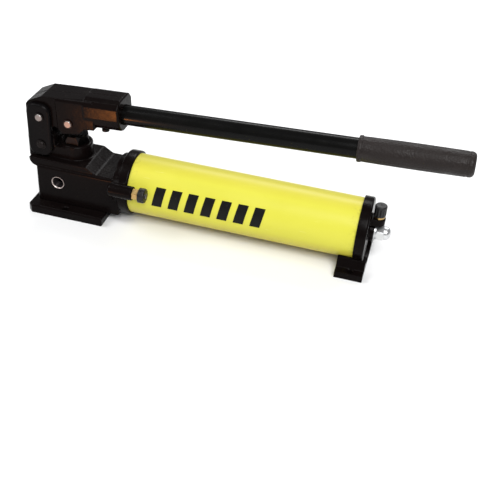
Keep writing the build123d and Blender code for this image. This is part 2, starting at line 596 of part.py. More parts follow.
def link_pin(z):
    pin = cyl_y(-PIN_END_Y, PIN_END_Y, PIVOT_X, z, PIN_R)
    pin = chamfer(pin.edges().filter_by(GeomType.CIRCLE), 0.7)
    for side in (-1, 1):
        y = side * (LINK_GAP_Y + LINK_T + 0.9)
        groove = cyl_y(y - 0.5, y + 0.5, PIVOT_X, z, PIN_R + 1)
        pin = pin - (groove - cyl_y(y - 1, y + 1, PIVOT_X, z, PIN_R - 0.6))
    return pin


def retaining_clip(x, y, z):
    """Open spring clip in a pin's groove; its gap faces down."""
    clip = cyl_y(y - 0.5, y + 0.5, x, z, PIN_R + 1.5) - cyl_y(y - 1, y + 1, x, z, PIN_R - 0.6)
    return clip - block(x - 2.0, x + 2.0, y - 2, y + 2, z - 9, z - 1)


def link_pin_clips(z):
    y = LINK_GAP_Y + LINK_T + 0.9
    return retaining_clip(PIVOT_X, -y, z) + retaining_clip(PIVOT_X, y, z)


def plunger_pin():
    end = BEAM_HALF_W + 2.2
    pin = cyl_y(-end, end, PLUNGER_X, PLUNGER_PIN_Z, PIN_R)
    pin = chamfer(pin.edges().filter_by(GeomType.CIRCLE), 0.7)
    for side in (-1, 1):
        y = side * (BEAM_HALF_W + 0.8)
        groove = cyl_y(y - 0.5, y + 0.5, PLUNGER_X, PLUNGER_PIN_Z, PIN_R + 1)
        pin = pin - (groove - cyl_y(y - 1, y + 1, PLUNGER_X, PLUNGER_PIN_Z, PIN_R - 0.6))
    return pin


def plunger_pin_clips():
    y = BEAM_HALF_W + 0.8
    near = retaining_clip(PLUNGER_X, -y, PLUNGER_PIN_Z)
    return near + retaining_clip(PLUNGER_X, y, PLUNGER_PIN_Z)


# ---- handle: built level along its own axis, then tilted --------------------------------------
HANDLE_PLACE = Pos(PLUNGER_X, 0, HANDLE_AXIS_Z) * Rot(0, -HANDLE_TILT, 0)


def in_handle(x, z):
    """Coordinates along and above the handle's axis of a point of the side view."""
    tilt = radians(HANDLE_TILT)
    dx, dz = x - PLUNGER_X, z - HANDLE_AXIS_Z
    return dx * cos(tilt) + dz * sin(tilt), dz * cos(tilt) - dx * sin(tilt)


def handle_socket():
    """Thick collar around the tube: flat sides, facets above, a rounder belly below."""
    side = BEAM_HALF_W + 1
    right_half = [
        (12, SOCKET_TOP), (18.5, SOCKET_TOP - 2.5), (side, SOCKET_TOP - 8.5), (side, 0),
        (side - 2.5, -9), (14, -16), (7, SOCKET_BOTTOM),
    ]
    left_half = [(-y, z) for y, z in reversed(right_half)]
    section = Plane.YZ * make_face(Polyline(*right_half, *left_half, close=True))
    collar = Pos(SOCKET_U0, 0, 0) * extrude(section, SOCKET_U1 - SOCKET_U0)
    return chamfer(collar.edges().group_by(Axis.X)[-1], 1.5)


def handle_beam():
    pu, pv = in_handle(PIVOT_X, UPPER_PIN_Z)
    qu, qv = in_handle(PLUNGER_X, PLUNGER_PIN_Z)
    nose = pu - BEAM_NOSE_R
    outline = [
        (nose, pv), (nose + 0.5, 7.0), (nose + 4, 11.5), (nose + 23, 19.5), (SOCKET_U0, BEAM_TOP),
        (SOCKET_U0 + 12, BEAM_TOP), (SOCKET_U0 + 12, SOCKET_BOTTOM + 2), (SOCKET_U0 - 1, SOCKET_BOTTOM + 1),
        (SOCKET_U0 - 9, BEAM_BOTTOM), (qu - 10, BEAM_BOTTOM - 2.5), (qu - 14.5, BEAM_BOTTOM + 3),
        (pu + 14, pv - 13), (pu, pv - BEAM_NOSE_R),
    ]
    body = side_profile(outline, BEAM_HALF_W)
    body = body + cyl_y(-BEAM_HALF_W, BEAM_HALF_W, pu, pv, BEAM_NOSE_R)
    body = body & rounded_bar(nose - 5, SOCKET_U1, BEAM_HALF_W, -34, BEAM_TOP, 6)
    body = body + handle_socket()

    clearance_u = qu - 14.5
    for side in (-1, 1):
        middle_y = side * (LINK_GAP_Y + 10)
        outer = block(nose - 10, clearance_u, middle_y - 10.5, middle_y + 10.5, -40, 40)
        body = body - outer
    pocket_y = EYE_HALF_W + 1.5
    body = body - block(qu - 18.5, qu + 14.5, -pocket_y, pocket_y, -40, qv + 14.5)
    body = body - cyl_y(-40, 40, pu, pv, PIN_R)
    body = body - cyl_y(-40, 40, qu, qv, PIN_R)
    body = body - cyl_x(TUBE_U0, SOCKET_U1 + 1, 0, 0, TUBE_R)
    return body - cyl_z(-30, -TUBE_R + 1, SET_SCREW_U, 0, 3.0)


def handle_tube():
    tube = cyl_x(TUBE_U0, TUBE_U1, 0, 0, TUBE_R)
    tube = tube - cyl_x(TUBE_U0 - 1, TUBE_U1 + 1, 0, 0, TUBE_R - TUBE_WALL)
    return tube - cyl_z(-TUBE_R - 1, -TUBE_R + 1.5, SET_SCREW_U, 0, 3.0)


def handle_grip():
    """Rubber sleeve, slightly swollen in the middle, with a rolled front lip and a domed end."""
    bead_r = GRIP_R + 0.4
    grip = cyl_x(GRIP_U0, GRIP_U1, 0, 0, GRIP_R)
    grip = fillet(grip.edges().filter_by(GeomType.CIRCLE).group_by(Axis.X)[-1], 5.0)
    grip = grip + fillet(
        cyl_x(GRIP_U0, GRIP_U0 + 5, 0, 0, bead_r).edges().filter_by(GeomType.CIRCLE), 1.5
    )
    return grip - cyl_x(GRIP_U0 - 1, TUBE_U1, 0, 0, TUBE_R)


def handle_set_screw():
    screw = cyl_z(-23.5, -TUBE_R + 1.4, SET_SCREW_U, 0, 3.0) + cyl_z(-26.5, -23.5, SET_SCREW_U, 0, 4.8)
    return screw - hex_z(-27, -24.5, SET_SCREW_U, 0, 4.0)


# ---- write every sub-part -------------------------------------------------------------------
def screw_group(spots, head_z, tip_z):
    group = None
    for x, y in spots:
        screw = cap_screw_up(x, y, head_z, tip_z)
        group = screw if group is None else group + screw
    return group


nodes = {
    "pump_head": drill_head(head_casting()),
    "front_foot": front_foot(),
    "front_foot_screws": screw_group(FRONT_SCREW_SPOTS, 1.0, FRONT_FOOT_H + 10),
    "reservoir_tube": reservoir_tube(),
    "reservoir_mark": reservoir_mark(),
    "rear_cap": rear_cap(),
    "rear_foot": rear_foot(),
    "rear_foot_screws": screw_group(REAR_SCREW_SPOTS, 0.7, 21),
    "tie_rod": tie_rod(),
    "tie_rod_washer": tie_rod_washer(),
    "tie_rod_nut": tie_rod_nut(),
    "front_tube_seal": ring_x(SEAL_FRONT_X, SEAL_FRONT_X + SEAL_W, TANK_Z, SEAL_R_IN, TANK_R - TANK_WALL),
    "rear_tube_seal": ring_x(SEAL_REAR_X, SEAL_REAR_X + SEAL_W, TANK_Z, SEAL_R_IN, TANK_R - TANK_WALL),
    "suction_tube": suction_tube(),
    "suction_strainer": suction_strainer(),
    "filler_neck": filler_neck(),
    "filler_cap": filler_cap(),
    "filler_gasket": filler_gasket(),
    "plunger": plunger(),
    "plunger_packing": plunger_packing(),
    "plunger_gland_nut": plunger_gland_nut(),
    "plunger_wiper": plunger_wiper(),
    "outlet_port_bush": outlet_port_bush(),
    "outlet_valve_seat": outlet_valve_seat(),
    "outlet_check_ball": check_ball(OUTLET_BALL_X, OUTLET_Z),
    "outlet_valve_spring": outlet_valve_spring(),
    "outlet_valve_plug": outlet_valve_plug(),
    "intake_valve_seat": intake_valve_seat(),
    "intake_check_ball": check_ball(PLUNGER_X, INTAKE_BALL_Z),
    "relief_valve_ball": relief_valve_ball(),
    "relief_valve_spring": relief_valve_spring(),
    "relief_valve_screw": relief_valve_screw(),
    "release_valve_gland": release_valve_gland(),
    "release_valve_seal": release_valve_seal(),
    "release_valve_stem": release_valve_stem(),
    "release_valve_knob": release_valve_knob(),
    "release_knob_pin": release_knob_pin(),
    "link_near": link_plate(-1),
    "link_far": link_plate(1),
    "lower_link_pin": link_pin(LOWER_PIN_Z),
    "lower_pin_clips": link_pin_clips(LOWER_PIN_Z),
    "upper_link_pin": link_pin(UPPER_PIN_Z),
    "upper_pin_clips": link_pin_clips(UPPER_PIN_Z),
    "plunger_pin": plunger_pin(),
    "plunger_pin_clips": plunger_pin_clips(),
    "handle_beam": HANDLE_PLACE * handle_beam(),
    "handle_tube": HANDLE_PLACE * handle_tube(),
    "handle_grip": HANDLE_PLACE * handle_grip(),
    "handle_set_screw": HANDLE_PLACE * handle_set_screw(),
}

os.makedirs("parts", exist_ok=True)
for name, shape in nodes.items():
    export_step(shape, f"parts/{name}.step")
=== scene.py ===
import json
from math import asin, cos, exp, pi, radians, sin

import bmesh
import bpy
from mathutils import Matrix, Vector


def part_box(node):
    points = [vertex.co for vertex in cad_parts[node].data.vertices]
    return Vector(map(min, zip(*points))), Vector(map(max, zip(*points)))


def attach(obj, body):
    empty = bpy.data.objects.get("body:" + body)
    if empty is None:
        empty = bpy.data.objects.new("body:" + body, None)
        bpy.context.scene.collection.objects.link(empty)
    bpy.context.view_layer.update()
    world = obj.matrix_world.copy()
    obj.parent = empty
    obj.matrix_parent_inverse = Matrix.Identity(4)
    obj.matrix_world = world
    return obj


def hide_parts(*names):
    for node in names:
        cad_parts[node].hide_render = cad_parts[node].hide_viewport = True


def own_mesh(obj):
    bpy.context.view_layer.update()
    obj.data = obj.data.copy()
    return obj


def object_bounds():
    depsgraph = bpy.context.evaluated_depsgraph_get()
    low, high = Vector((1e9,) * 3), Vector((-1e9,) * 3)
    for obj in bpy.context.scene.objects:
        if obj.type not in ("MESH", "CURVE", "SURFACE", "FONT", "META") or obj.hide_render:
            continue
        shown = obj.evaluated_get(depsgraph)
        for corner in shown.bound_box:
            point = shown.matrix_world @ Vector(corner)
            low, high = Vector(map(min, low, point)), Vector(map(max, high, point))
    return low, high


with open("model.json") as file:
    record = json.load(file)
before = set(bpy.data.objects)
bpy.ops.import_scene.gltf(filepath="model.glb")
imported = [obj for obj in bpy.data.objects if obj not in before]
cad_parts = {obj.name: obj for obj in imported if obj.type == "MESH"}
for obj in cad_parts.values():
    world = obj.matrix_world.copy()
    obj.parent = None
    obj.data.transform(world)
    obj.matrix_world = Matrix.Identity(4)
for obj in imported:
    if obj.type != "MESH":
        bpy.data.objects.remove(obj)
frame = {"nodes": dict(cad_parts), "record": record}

CAD_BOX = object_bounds()
NODES = frame["nodes"]
MM = 0.001

# ---- what the pieces are built around, all read from the frame --------------------------------
SLOT_OF = {row["node"]: row["material_slot"] for row in frame["record"]["subparts"]}
BODY_OF = {
    node: body
    for body, members in frame["record"]["behaviour"]["bodies"].items()
    for node in members
}
PORT_THREAD_START = 1.6 * MM     # depth of the port's first thread, where the painted shade on its wall begins


# ---- node graph helpers -----------------------------------------------------------------------
class Graph:
    """A material's node tree with short calls for the nodes used here."""

    def __init__(self, name):
        self.material = bpy.data.materials.new(name)
        self.material.use_nodes = True
        self.tree = self.material.node_tree
        self.shader = self.tree.nodes["Principled BSDF"]
        self.position = self.add("ShaderNodeTexCoord").outputs["Object"]

    def add(self, kind, **settings):
        node = self.tree.nodes.new(kind)
        for key, value in settings.items():
            setattr(node, key, value)
        return node

    def link(self, source, target):
        self.tree.links.new(source, target)

    def feed(self, node, **inputs):
        for key, value in inputs.items():
            socket = node.inputs[key.replace("_", " ")]
            if isinstance(value, bpy.types.NodeSocket):
                self.link(value, socket)
            else:
                socket.default_value = value
        return node

    def coordinates(self):
        """The three coordinates of the point that is shaded, in the row frame."""
        split = self.add("ShaderNodeSeparateXYZ")
        self.link(self.position, split.inputs[0])
        return split.outputs

    def stretched(self, scale):
        mapping = self.add("ShaderNodeMapping")
        self.feed(mapping, Vector=self.position, Scale=scale)
        return mapping.outputs["Vector"]

    def noise(self, scale, detail=4.0, rough=0.55, vector=None):
        node = self.add("ShaderNodeTexNoise")
        self.feed(node, Vector=vector or self.position, Scale=scale, Detail=detail, Roughness=rough)
        return node.outputs["Fac"]

    def cells(self, scale):
        node = self.add("ShaderNodeTexVoronoi")
        self.feed(node, Vector=self.position, Scale=scale)
        return node.outputs["Distance"]

    def span(self, value, low, high, to_low=0.0, to_high=1.0):
        node = self.add("ShaderNodeMapRange", clamp=True)
        self.feed(node, Value=value)
        self.feed(node, From_Min=low, From_Max=high, To_Min=to_low, To_Max=to_high)
        return node.outputs["Result"]

    def math(self, operation, a, b):
        node = self.add("ShaderNodeMath", operation=operation)
        for socket, value in zip(node.inputs, (a, b)):
            if isinstance(value, bpy.types.NodeSocket):
                self.link(value, socket)
            else:
                socket.default_value = value
        return node.outputs[0]

    def mix(self, factor, a, b):
        node = self.add("ShaderNodeMix", data_type="RGBA")
        for index, value in ((0, factor), (6, a), (7, b)):
            socket = node.inputs[index]
            if isinstance(value, bpy.types.NodeSocket):
                self.link(value, socket)
            elif index == 0:
                socket.default_value = value
            else:
                socket.default_value = (*value, 1.0)
        return node.outputs[2]

    def edges(self, low, high):
        """1 on convex edges, 0 elsewhere."""
        pointiness = self.add("ShaderNodeNewGeometry").outputs["Pointiness"]
        return self.span(pointiness, low, high)

    def crevices(self):
        """1 in concave corners, 0 elsewhere."""
        pointiness = self.add("ShaderNodeNewGeometry").outputs["Pointiness"]
        return self.span(pointiness, 0.40, 0.49, 1.0, 0.0)

    def facing_up(self, low, high):
        normal = self.add("ShaderNodeNewGeometry").outputs["Normal"]
        split = self.add("ShaderNodeSeparateXYZ")
        self.link(normal, split.inputs[0])
        return self.span(split.outputs["Z"], low, high)

    def bump(self, *layers):
        """layers are (height socket, distance in metres) pairs, stacked."""
        previous = None
        for height, distance in layers:
            node = self.add("ShaderNodeBump")
            node.inputs["Distance"].default_value = distance
            self.link(height, node.inputs["Height"])
            if previous is not None:
                self.link(previous, node.inputs["Normal"])
            previous = node.outputs["Normal"]
        self.link(previous, self.shader.inputs["Normal"])

    def finish(self, color, roughness, **plain):
        """color and roughness are sockets or values; plain holds constant shader inputs."""
        for name, value in (("Base Color", color), ("Roughness", roughness)):
            socket = self.shader.inputs[name]
            if isinstance(value, bpy.types.NodeSocket):
                self.link(value, socket)
            else:
                socket.default_value = value if name == "Roughness" else (*value, 1.0)
        for key, value in plain.items():
            self.shader.inputs[key.replace("_", " ")].default_value = value
        return self.material


# ---- materials ----------------------------------------------------------------------------------
def black_enamel(name, base, gloss, cast_grain, shine=0.045):
    """Brushed-on black enamel over a casting: sand texture below, soft gloss above, rubbed edges."""
    g = Graph(name)
    grain = g.noise(900.0, 5.0, 0.6)
    swell = g.noise(140.0, 3.0, 0.5)
    cloud = g.noise(28.0, 4.0, 0.6)
    dust = g.math("MULTIPLY", g.facing_up(0.5, 1.0), g.span(g.noise(60.0, 6.0, 0.7), 0.5, 0.8))
    worn_patches = g.span(g.noise(170.0, 6.0, 0.75), 0.47, 0.66)
    worn = g.math("MULTIPLY", g.edges(0.535, 0.62), worn_patches)
    color = g.mix(cloud, tuple(c * 0.7 for c in base), tuple(c * 1.4 for c in base))
    color = g.mix(g.math("MULTIPLY", dust, 0.018), color, (0.20, 0.17, 0.15))
    color = g.mix(g.math("MULTIPLY", worn, 0.40), color, (0.11, 0.10, 0.095))
    roughness = g.span(g.noise(75.0, 6.0, 0.7), 0.3, 0.75, gloss, gloss + 0.12)
    roughness = g.math("ADD", roughness, g.math("MULTIPLY", dust, 0.12))
    g.bump((swell, 0.00018), (grain, cast_grain))
    return g.finish(color, roughness, Specular_IOR_Level=shine, IOR=1.5)


def tube_enamel(name):
    """Dipped gloss black on drawn tube: long faint draw lines and small scuffs."""
    g = Graph(name)
    draw = g.noise(70.0, 3.0, 0.5, vector=g.stretched((0.06, 1.0, 1.0)))
    scuff = g.span(g.noise(420.0, 8.0, 0.8, vector=g.stretched((0.35, 1.0, 1.0))), 0.63, 0.74)
    smear = g.noise(22.0, 5.0, 0.6)
    color = g.mix(smear, (0.0020, 0.0020, 0.0020), (0.0042, 0.0040, 0.0037))
    color = g.mix(g.math("MULTIPLY", scuff, 0.25), color, (0.05, 0.046, 0.042))
    roughness = g.span(smear, 0.3, 0.7, 0.16, 0.30)
    roughness = g.math("ADD", roughness, g.math("MULTIPLY", scuff, 0.25))
    g.bump((draw, 0.00012), (g.noise(520.0, 3.0), 0.00002))
    return g.finish(color, roughness, Specular_IOR_Level=0.09, IOR=1.5)


def yellow_enamel(name):
    """Sprayed gloss yellow: orange peel, fine scratches, painted shade low down and along the top rim,
    grime at the ends.
    """
    g = Graph(name)
    peel = g.noise(480.0, 2.0, 0.4)
    wave = g.noise(36.0, 2.0, 0.4)
    tone = g.noise(14.0, 5.0, 0.6)
    low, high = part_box("reservoir_tube")
    end_width = 12 * MM
    at = g.coordinates()
    # painted shade and grime mask: 1 at the bottom of the tube, 0 from 30 mm up
    low_band_shade_and_grime = g.span(at["Z"], low.z, low.z + 30 * MM, 1.0, 0.0)
    # painted shade mask: the top 6 mm of the tube, where a darker rim is painted
    crown = g.span(at["Z"], high.z - 6 * MM, high.z)
    front_end = g.span(at["X"], low.x, low.x + end_width, 1.0, 0.0)
    rear_end = g.span(at["X"], high.x - end_width, high.x)
    ends = g.math("MAXIMUM", front_end, rear_end)
    speckle = g.span(g.noise(230.0, 8.0, 0.75), 0.5, 0.72)
    grime = g.math("MULTIPLY", g.math("MAXIMUM", g.math("MULTIPLY", low_band_shade_and_grime, 0.5), ends), speckle)
    scratch_field = g.noise(900.0, 2.0, 0.5, vector=g.stretched((0.05, 1.0, 0.6)))
    scratch = g.math("MULTIPLY", g.span(scratch_field, 0.70, 0.74), g.span(g.noise(18.0), 0.45, 0.6))
    color = g.mix(tone, (0.590, 0.560, 0.052), (0.648, 0.622, 0.068))
    # painted shade: orange-brown darkening along the bottom of the tube
    color = g.mix(g.math("MULTIPLY", low_band_shade_and_grime, 0.85), color, (0.44, 0.32, 0.035))
    # painted shade: darker rim along the top of the tube
    color = g.mix(g.math("MULTIPLY", crown, 0.35), color, (0.50, 0.40, 0.05))
    color = g.mix(g.math("MULTIPLY", grime, 0.55), color, (0.20, 0.15, 0.05))
    color = g.mix(g.math("MULTIPLY", scratch, 0.35), color, (0.85, 0.83, 0.40))
    roughness = g.span(tone, 0.3, 0.7, 0.30, 0.42)
    roughness = g.math("ADD", roughness, g.math("MULTIPLY", grime, 0.3))
    g.bump((wave, 0.00025), (peel, 0.00003))
    return g.finish(color, roughness, Specular_IOR_Level=0.25)


def printed_black(name):
    """Screen-printed ink: satin, with small patches rubbed lighter."""
    g = Graph(name)
    rub = g.span(g.noise(260.0, 8.0, 0.8), 0.60, 0.72)
    color = g.mix(g.math("MULTIPLY", rub, 0.20), (0.0055, 0.0055, 0.0052), (0.20, 0.17, 0.05))
    roughness = g.span(g.noise(90.0, 5.0), 0.3, 0.7, 0.34, 0.48)
    g.bump((g.noise(700.0, 3.0), 0.00002))
    return g.finish(color, roughness, Specular_IOR_Level=0.12)


def grip_rubber(name):
    """Matte moulded rubber with a fine leather-like stipple and hand-polished patches."""
    g = Graph(name)
    stipple = g.cells(430.0)
    polish = g.span(g.noise(30.0, 4.0, 0.6), 0.45, 0.65)
    bloom = g.noise(85.0, 6.0, 0.7)
    color = g.mix(bloom, (0.0072, 0.0050, 0.0045), (0.0165, 0.0112, 0.0098))
    roughness = g.span(polish, 0.0, 1.0, 0.58, 0.42)
    g.bump((stipple, 0.00038), (g.noise(1500.0, 4.0), 0.00004))
    return g.finish(color, roughness, Sheen_Weight=0.03, Sheen_Roughness=0.5, Specular_IOR_Level=0.22)


def plain_rubber(name):
    g = Graph(name)
    color = g.mix(g.noise(120.0, 5.0), (0.008, 0.008, 0.008), (0.020, 0.019, 0.018))
    g.bump((g.noise(1100.0, 4.0), 0.00004))
    return g.finish(color, g.span(g.noise(60.0), 0.3, 0.7, 0.5, 0.7))


def moulded_plastic(name):
    g = Graph(name)
    scuff = g.math("MULTIPLY", g.edges(0.53, 0.62), g.span(g.noise(300.0, 6.0, 0.7), 0.4, 0.65))
    color = g.mix(g.noise(90.0, 4.0), (0.005, 0.005, 0.005), (0.011, 0.010, 0.010))
    color = g.mix(g.math("MULTIPLY", scuff, 0.35), color, (0.08, 0.08, 0.08))
    g.bump((g.cells(1500.0), 0.00005))
    return g.finish(color, g.span(g.noise(150.0), 0.3, 0.7, 0.30, 0.42), Specular_IOR_Level=0.3)


def machined_metal(
    name, light, dark, low_rough, high_rough, tarnish, scratch=0.00003, stain=(0.3, 0.2, 0.1)
):
    """Turned or ground metal with fine tool marks, blotches, and tarnish in spots and corners."""
    g = Graph(name)
    lines = g.noise(2400.0, 3.0, 0.6, vector=g.stretched((1.0, 0.12, 1.0)))
    blotch = g.noise(110.0, 6.0, 0.65)
    color = g.mix(blotch, dark, light)
    spots = g.span(g.noise(320.0, 8.0, 0.75), 0.55, 0.75)
    dirt = g.math("MULTIPLY", g.math("MAXIMUM", spots, g.crevices()), tarnish)
    color = g.mix(dirt, color, stain)
    texture = g.math("ADD", g.math("MULTIPLY", lines, 0.5), g.math("MULTIPLY", blotch, 0.5))
    roughness = g.span(texture, 0.3, 0.7, low_rough, high_rough)
    g.bump((lines, scratch))
    return g.finish(color, roughness, Metallic=1.0)


def port_metal(name):
    """Steel bush: bright machined rim, then painted shade that darkens the wall down the thread."""
    g = Graph(name)
    mouth_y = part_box("outlet_port_bush")[0].y
    # painted shade mask: 0 at the mouth, 1 from the first thread inwards
    inside = g.span(g.coordinates()["Y"], mouth_y + 0.2 * MM, mouth_y + PORT_THREAD_START)
    lines = g.noise(2400.0, 3.0, 0.6, vector=g.stretched((1.0, 0.12, 1.0)))
    smear = g.noise(240.0, 6.0, 0.7)
    rim = g.mix(smear, (0.40, 0.33, 0.31), (0.62, 0.54, 0.51))
    # painted shade: the wall deeper in the port is coloured near black
    port_painted_shade = g.mix(smear, (0.016, 0.013, 0.014), (0.050, 0.042, 0.044))
    roughness = g.span(smear, 0.3, 0.7, 0.28, 0.44)
    g.bump((lines, 0.00003))
    return g.finish(g.mix(inside, rim, port_painted_shade), roughness, Metallic=1.0)


def make_materials():
    return {
        "black_casting": black_enamel("black_enamel", (0.0036, 0.0024, 0.0023), 0.17, 0.00006),
        "black_links": black_enamel("black_link_paint", (0.0036, 0.0031, 0.0033), 0.24, 0.00003),
        "black_gloss": tube_enamel("gloss_black_tube"),
        "yellow_paint": yellow_enamel("yellow_enamel"),
        "mark_black": printed_black("printed_black"),
        "grip_rubber": grip_rubber("grip_rubber"),
        "seal_rubber": plain_rubber("seal_rubber"),
        "knob_plastic": moulded_plastic("moulded_black"),
        "bright_steel": machined_metal(
            "bright_steel", (0.26, 0.245, 0.24), (0.17, 0.16, 0.155), 0.32, 0.46, tarnish=0.35,
        ),
        "zinc_steel": machined_metal(
            "zinc_plate", (0.78, 0.79, 0.80), (0.56, 0.57, 0.57), 0.24, 0.40, tarnish=0.25,
            stain=(0.42, 0.38, 0.28),
        ),
        "dark_steel": machined_metal(
            "blackened_steel", (0.020, 0.018, 0.018), (0.008, 0.007, 0.007), 0.28, 0.44,
            tarnish=0.4, stain=(0.012, 0.008, 0.006),
        ),
        "plunger_chrome": machined_metal(
            "hard_chrome", (0.86, 0.86, 0.87), (0.74, 0.74, 0.76), 0.06, 0.14, tarnish=0.15,
            scratch=0.00001,
        ),
        "brass": machined_metal(
            "brass", (0.62, 0.42, 0.17), (0.40, 0.26, 0.10), 0.26, 0.42, tarnish=0.5,
            stain=(0.14, 0.085, 0.04),
        ),
    }


MATERIALS = make_materials()
PORT_METAL = port_metal("port_bush_steel")


def dress(obj, material):
    obj.data.materials.clear()
    obj.data.materials.append(material)


for node_name, node_object in NODES.items():
    dress(node_object, MATERIALS[SLOT_OF[node_name]])
dress(NODES["outlet_port_bush"], PORT_METAL)


# ---- pieces built around the CAD nodes --------------------------------------------------------------
def new_piece(name, mesh, body, slot_name):
    piece = bpy.data.objects.new(name, mesh)
    bpy.context.scene.collection.objects.link(piece)
    dress(piece, MATERIALS[slot_name])
    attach(piece, body)
    return piece


def smooth(mesh):
    for polygon in mesh.polygons:
        polygon.use_smooth = True


def piece_from(mesh, name, body, slot_name):
    """Turns a bmesh into a smooth piece with its faces outwards, and frees it."""
    bmesh.ops.recalc_face_normals(mesh, faces=mesh.faces)
    data = bpy.data.meshes.new(name)
    mesh.to_mesh(data)
    mesh.free()
    smooth(data)
    return new_piece(name, data, body, slot_name)


def swept(mesh, rings):
    """Joins a row of equal closed rings into a solid bar with flat ends."""
    sides = len(rings[0])
    for first, second in zip(rings, rings[1:]):
        for a in range(sides):
            b = (a + 1) % sides
            mesh.faces.new((first[a], first[b], second[b], second[a]))
    mesh.faces.new(rings[0])
    mesh.faces.new(rings[-1])


def softened(node, voxel, passes, keep):
    """Copy of a node with the small radii a cast or tumbled part has on every edge."""
    mesh = NODES[node].data.copy()
    welded = bmesh.new()
    welded.from_mesh(mesh)
    bmesh.ops.remove_doubles(welded, verts=welded.verts, dist=0.002 * MM)
    welded.to_mesh(mesh)
    welded.free()
    source = bpy.data.objects.new(node + "_source", mesh)
    bpy.context.scene.collection.objects.link(source)
    remesh = source.modifiers.new("remesh", "REMESH")
    remesh.mode = "VOXEL"
    remesh.voxel_size = voxel
    relax = source.modifiers.new("relax", "SMOOTH")
    relax.factor = 0.5
    relax.iterations = passes
    thin = source.modifiers.new("thin", "DECIMATE")
    thin.ratio = keep
    depsgraph = bpy.context.evaluated_depsgraph_get()
    result = bpy.data.meshes.new_from_object(source.evaluated_get(depsgraph))
    bpy.data.objects.remove(source)
    result.name = node + "_soft"
    smooth(result)
    piece = new_piece(node + "_soft", result, BODY_OF[node], SLOT_OF[node])
    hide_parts(node)
    return piece


# node: voxel size in millimetres, smoothing passes, share of the faces kept
SOFT_NODES = {
    "pump_head": (0.80, 4, 0.35),
    "handle_beam": (0.60, 3, 0.35),
    "front_foot": (0.80, 3, 0.30),
    "rear_foot": (0.60, 3, 0.35),
    "rear_cap": (0.60, 3, 0.35),
    "link_near": (0.36, 3, 0.30),
    "link_far": (0.36, 3, 0.30),
    "plunger_gland_nut": (0.35, 3, 0.45),
    "tie_rod_nut": (0.28, 3, 0.45),
    "filler_cap": (0.22, 3, 0.45),
    "release_valve_knob": (0.22, 3, 0.45),
    "release_valve_gland": (0.22, 2, 0.45),
    "handle_set_screw": (0.22, 2, 0.45),
}
SOFT = {
    node: softened(node, voxel * MM, passes, keep)
    for node, (voxel, passes, keep) in SOFT_NODES.items()
}


class HandleAxis:
    """Line down the middle of the handle tube, worked out from the box around the tilted tube."""

    def __init__(self):
        low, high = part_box("handle_tube")
        size = high - low
        self.radius = size.y / 2
        self.centre = (low + high) / 2
        tilt = 0.0
        for _ in range(8):
            length = (size.x - 2 * self.radius * sin(tilt)) / cos(tilt)
            tilt = asin((size.z - 2 * self.radius * cos(tilt)) / length)
        self.tilt = tilt
        self.end = length / 2
        self.along = Vector((cos(tilt), 0.0, sin(tilt)))
        self.above = Vector((-sin(tilt), 0.0, cos(tilt)))

    def point(self, along, y, above):
        return self.centre + along * self.along + Vector((0.0, y, 0.0)) + above * self.above

    def station(self, x, radius):
        """Distance from the tube's middle to a disc of that radius whose lowest x is given."""
        return (x - self.centre.x + radius * sin(self.tilt)) / cos(self.tilt)


HANDLE = HandleAxis()


def turned(name, profile, segments, swell, place, body, slot_name):
    """Closed turned form: profile is (station, radius) pairs, swell adds to the radius by angle."""
    mesh = bmesh.new()
    rings = []
    for station, radius in profile:
        if radius == 0.0:
            rings.append([mesh.verts.new(place(station, 0.0, 0.0))])
            continue
        ring = []
        for index in range(segments):
            angle = 2 * pi * index / segments
            r = radius + swell(station, angle)
            ring.append(mesh.verts.new(place(station, r * cos(angle), r * sin(angle))))
        rings.append(ring)
    for first, second in zip(rings, rings[1:]):
        for index in range(segments):
            following = (index + 1) % segments
            corners = [
                first[index % len(first)], first[following % len(first)],
                second[following % len(second)], second[index % len(second)],
            ]
            mesh.faces.new(list(dict.fromkeys(corners)))
    return piece_from(mesh, name, body, slot_name)


def with_groove(profile, station, half_width, depth):
    """Cuts a round-bottomed groove into the outside of a profile."""
    outside_r = HANDLE.radius * 1.05
    before = [p for p in profile if p[0] < station - half_width or p[1] < outside_r]
    beyond = [p for p in profile if p[0] > station + half_width and p[1] > outside_r]
    edge_r = before[-1][1]
    steps = 8
    bowl = []
    for step in range(steps + 1):
        angle = pi * step / steps
        bowl.append((station - half_width * cos(angle), edge_r - depth * sin(angle)))
    return before + bowl + beyond


